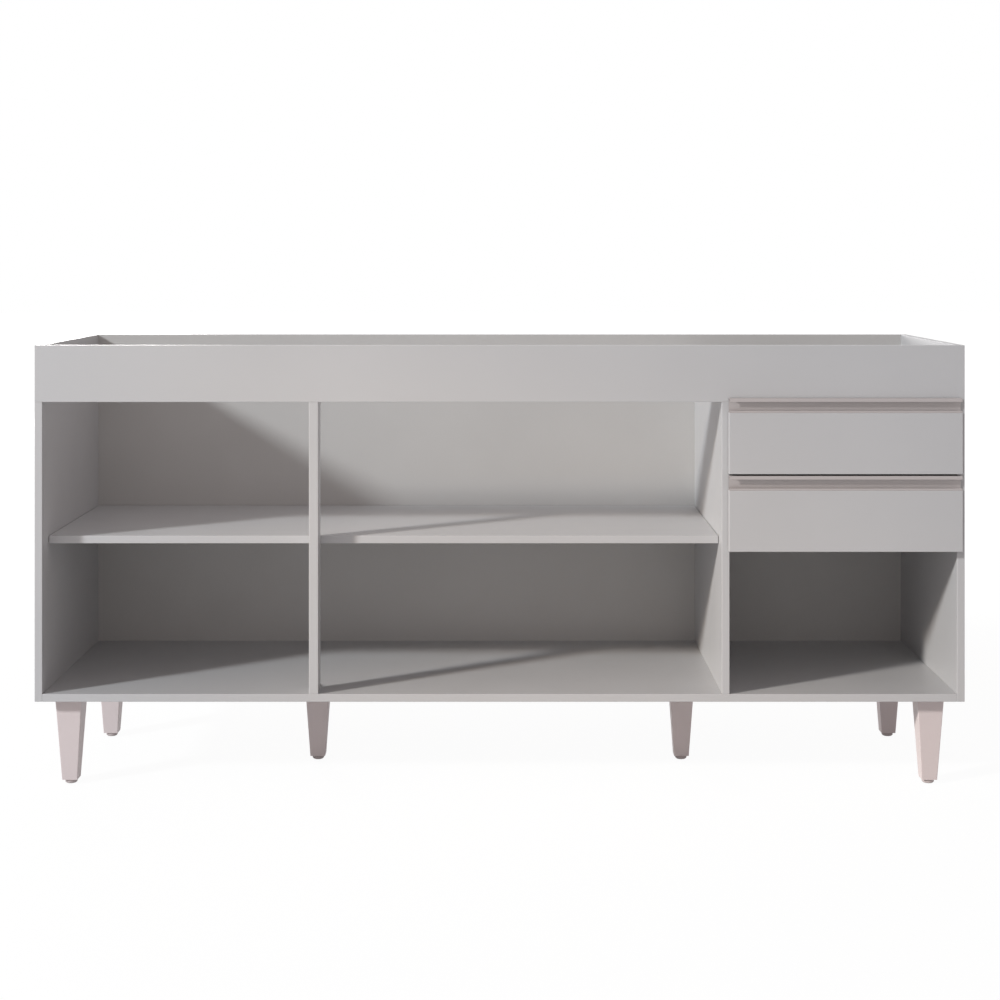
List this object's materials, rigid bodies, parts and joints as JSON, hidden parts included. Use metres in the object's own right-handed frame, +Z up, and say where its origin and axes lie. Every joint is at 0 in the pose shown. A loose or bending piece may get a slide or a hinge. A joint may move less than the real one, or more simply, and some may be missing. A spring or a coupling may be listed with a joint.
{
  "type": "sink base cabinet",
  "caption": "Open-topped kitchen sink base in satin grey lacquer: tall apron, long shelf behind a slim post, roller drawers with channel pulls, open niche, tapered metal legs.",
  "frame": {"origin": "on the floor, in the middle of the width and of the overall depth", "axes": "+X to the right seen from the front, -Y out of the front, +Z up"},
  "size_m": [1.8, 0.518, 0.86],
  "materials": {
    "board_lacquer": "satin light grey lacquer on board",
    "back_sheet": "grey lacquered hardboard",
    "drawer_board": "pale grey foil on board",
    "drawer_sheet": "pale grey hardboard",
    "leg_lacquer": "satin rose-beige metallic lacquer",
    "foot_plastic": "rose-beige moulded",
    "pull_metal": "satin champagne anodised extrusion",
    "slide_steel": "pale grey powder coat",
    "roller_nylon": "white nylon",
    "fitting_steel": "zinc plated",
    "dowel_beech": "fluted beech"
  },
  "bodies": {
    "cabinet": {"back_panel": "back_sheet", "bottom_panel": "board_lacquer", "cam_fittings": "fitting_steel", "corner_brackets": "fitting_steel", "divider_panel": "board_lacquer", "dowels": "dowel_beech", "front_apron": "board_lacquer", "front_post": "board_lacquer", "leg_bolts": "fitting_steel", "leg_front_left": "leg_lacquer", "leg_front_right": "leg_lacquer", "leg_mid_left": "leg_lacquer", "leg_mid_right": "leg_lacquer", "leg_rear_left": "leg_lacquer", "leg_rear_right": "leg_lacquer", "lower_cabinet_rail_left": "slide_steel", "lower_cabinet_rail_right": "slide_steel", "rear_top_rail": "board_lacquer", "shelf": "board_lacquer", "shelf_pins": "fitting_steel", "side_panel_left": "board_lacquer", "side_panel_right": "board_lacquer", "upper_cabinet_rail_left": "slide_steel", "upper_cabinet_rail_right": "slide_steel", "wood_screws": "fitting_steel"},
    "upper_drawer": {"upper_drawer_back": "drawer_board", "upper_drawer_bottom": "drawer_sheet", "upper_drawer_front": "board_lacquer", "upper_drawer_handle": "pull_metal", "upper_drawer_inner_front": "drawer_board", "upper_drawer_rail_left": "slide_steel", "upper_drawer_rail_right": "slide_steel", "upper_drawer_screws": "fitting_steel", "upper_drawer_side_left": "drawer_board", "upper_drawer_side_right": "drawer_board"},
    "lower_drawer": {"lower_drawer_back": "drawer_board", "lower_drawer_bottom": "drawer_sheet", "lower_drawer_front": "board_lacquer", "lower_drawer_handle": "pull_metal", "lower_drawer_inner_front": "drawer_board", "lower_drawer_rail_left": "slide_steel", "lower_drawer_rail_right": "slide_steel", "lower_drawer_screws": "fitting_steel", "lower_drawer_side_left": "drawer_board", "lower_drawer_side_right": "drawer_board"},
    "foot_front_left": {"foot_front_left": "foot_plastic"},
    "foot_front_right": {"foot_front_right": "foot_plastic"},
    "foot_mid_left": {"foot_mid_left": "foot_plastic"},
    "foot_mid_right": {"foot_mid_right": "foot_plastic"},
    "foot_rear_left": {"foot_rear_left": "foot_plastic"},
    "foot_rear_right": {"foot_rear_right": "foot_plastic"},
    "lower_cabinet_roller_left": {"lower_cabinet_roller_left": "roller_nylon"},
    "lower_cabinet_roller_right": {"lower_cabinet_roller_right": "roller_nylon"},
    "lower_drawer_roller_left": {"lower_drawer_roller_left": "roller_nylon"},
    "lower_drawer_roller_right": {"lower_drawer_roller_right": "roller_nylon"},
    "upper_cabinet_roller_left": {"upper_cabinet_roller_left": "roller_nylon"},
    "upper_cabinet_roller_right": {"upper_cabinet_roller_right": "roller_nylon"},
    "upper_drawer_roller_left": {"upper_drawer_roller_left": "roller_nylon"},
    "upper_drawer_roller_right": {"upper_drawer_roller_right": "roller_nylon"}
  },
  "joints": [
    {"name": "upper_drawer_slide", "type": "slide", "parent": "cabinet", "child": "upper_drawer", "axis": [0, -1, 0], "range_m": [0, 0.32]},
    {"name": "upper_cabinet_roller_left_spin", "type": "hinge", "parent": "cabinet", "child": "upper_cabinet_roller_left", "pos_m": [0.44975, -0.222, 0.6388], "axis": [1, 0, 0], "continuous": true},
    {"name": "upper_drawer_roller_left_spin", "type": "hinge", "parent": "upper_drawer", "child": "upper_drawer_roller_left", "pos_m": [0.45275, 0.19, 0.6368], "axis": [1, 0, 0], "continuous": true},
    {"name": "upper_cabinet_roller_right_spin", "type": "hinge", "parent": "cabinet", "child": "upper_cabinet_roller_right", "pos_m": [0.88025, -0.222, 0.6388], "axis": [1, 0, 0], "continuous": true},
    {"name": "upper_drawer_roller_right_spin", "type": "hinge", "parent": "upper_drawer", "child": "upper_drawer_roller_right", "pos_m": [0.87725, 0.19, 0.6368], "axis": [1, 0, 0], "continuous": true},
    {"name": "lower_drawer_slide", "type": "slide", "parent": "cabinet", "child": "lower_drawer", "axis": [0, -1, 0], "range_m": [0, 0.32]},
    {"name": "lower_cabinet_roller_left_spin", "type": "hinge", "parent": "cabinet", "child": "lower_cabinet_roller_left", "pos_m": [0.44975, -0.222, 0.4893], "axis": [1, 0, 0], "continuous": true},
    {"name": "lower_drawer_roller_left_spin", "type": "hinge", "parent": "lower_drawer", "child": "lower_drawer_roller_left", "pos_m": [0.45275, 0.19, 0.4873], "axis": [1, 0, 0], "continuous": true},
    {"name": "lower_cabinet_roller_right_spin", "type": "hinge", "parent": "cabinet", "child": "lower_cabinet_roller_right", "pos_m": [0.88025, -0.222, 0.4893], "axis": [1, 0, 0], "continuous": true},
    {"name": "lower_drawer_roller_right_spin", "type": "hinge", "parent": "lower_drawer", "child": "lower_drawer_roller_right", "pos_m": [0.87725, 0.19, 0.4873], "axis": [1, 0, 0], "continuous": true},
    {"name": "foot_front_left_turn", "type": "hinge", "parent": "cabinet", "child": "foot_front_left", "pos_m": [-0.841, -0.188, 0], "axis": [0, 0, 1], "continuous": true},
    {"name": "foot_front_right_turn", "type": "hinge", "parent": "cabinet", "child": "foot_front_right", "pos_m": [0.841, -0.188, 0], "axis": [0, 0, 1], "continuous": true},
    {"name": "foot_mid_left_turn", "type": "hinge", "parent": "cabinet", "child": "foot_mid_left", "pos_m": [-0.373, -0.02, 0], "axis": [0, 0, 1], "continuous": true},
    {"name": "foot_mid_right_turn", "type": "hinge", "parent": "cabinet", "child": "foot_mid_right", "pos_m": [0.373, -0.02, 0], "axis": [0, 0, 1], "continuous": true},
    {"name": "foot_rear_left_turn", "type": "hinge", "parent": "cabinet", "child": "foot_rear_left", "pos_m": [-0.836, 0.157, 0], "axis": [0, 0, 1], "continuous": true},
    {"name": "foot_rear_right_turn", "type": "hinge", "parent": "cabinet", "child": "foot_rear_right", "pos_m": [0.836, 0.157, 0], "axis": [0, 0, 1], "continuous": true}
  ],
  "couplings": [
    {"joint": "upper_cabinet_roller_left_spin", "follows": "upper_drawer_slide", "rad_per_m": 125},
    {"joint": "upper_drawer_roller_left_spin", "follows": "upper_drawer_slide", "rad_per_m": 125},
    {"joint": "upper_cabinet_roller_right_spin", "follows": "upper_drawer_slide", "rad_per_m": 125},
    {"joint": "upper_drawer_roller_right_spin", "follows": "upper_drawer_slide", "rad_per_m": 125},
    {"joint": "lower_cabinet_roller_left_spin", "follows": "lower_drawer_slide", "rad_per_m": 125},
    {"joint": "lower_drawer_roller_left_spin", "follows": "lower_drawer_slide", "rad_per_m": 125},
    {"joint": "lower_cabinet_roller_right_spin", "follows": "lower_drawer_slide", "rad_per_m": 125},
    {"joint": "lower_drawer_roller_right_spin", "follows": "lower_drawer_slide", "rad_per_m": 125}
  ]
}
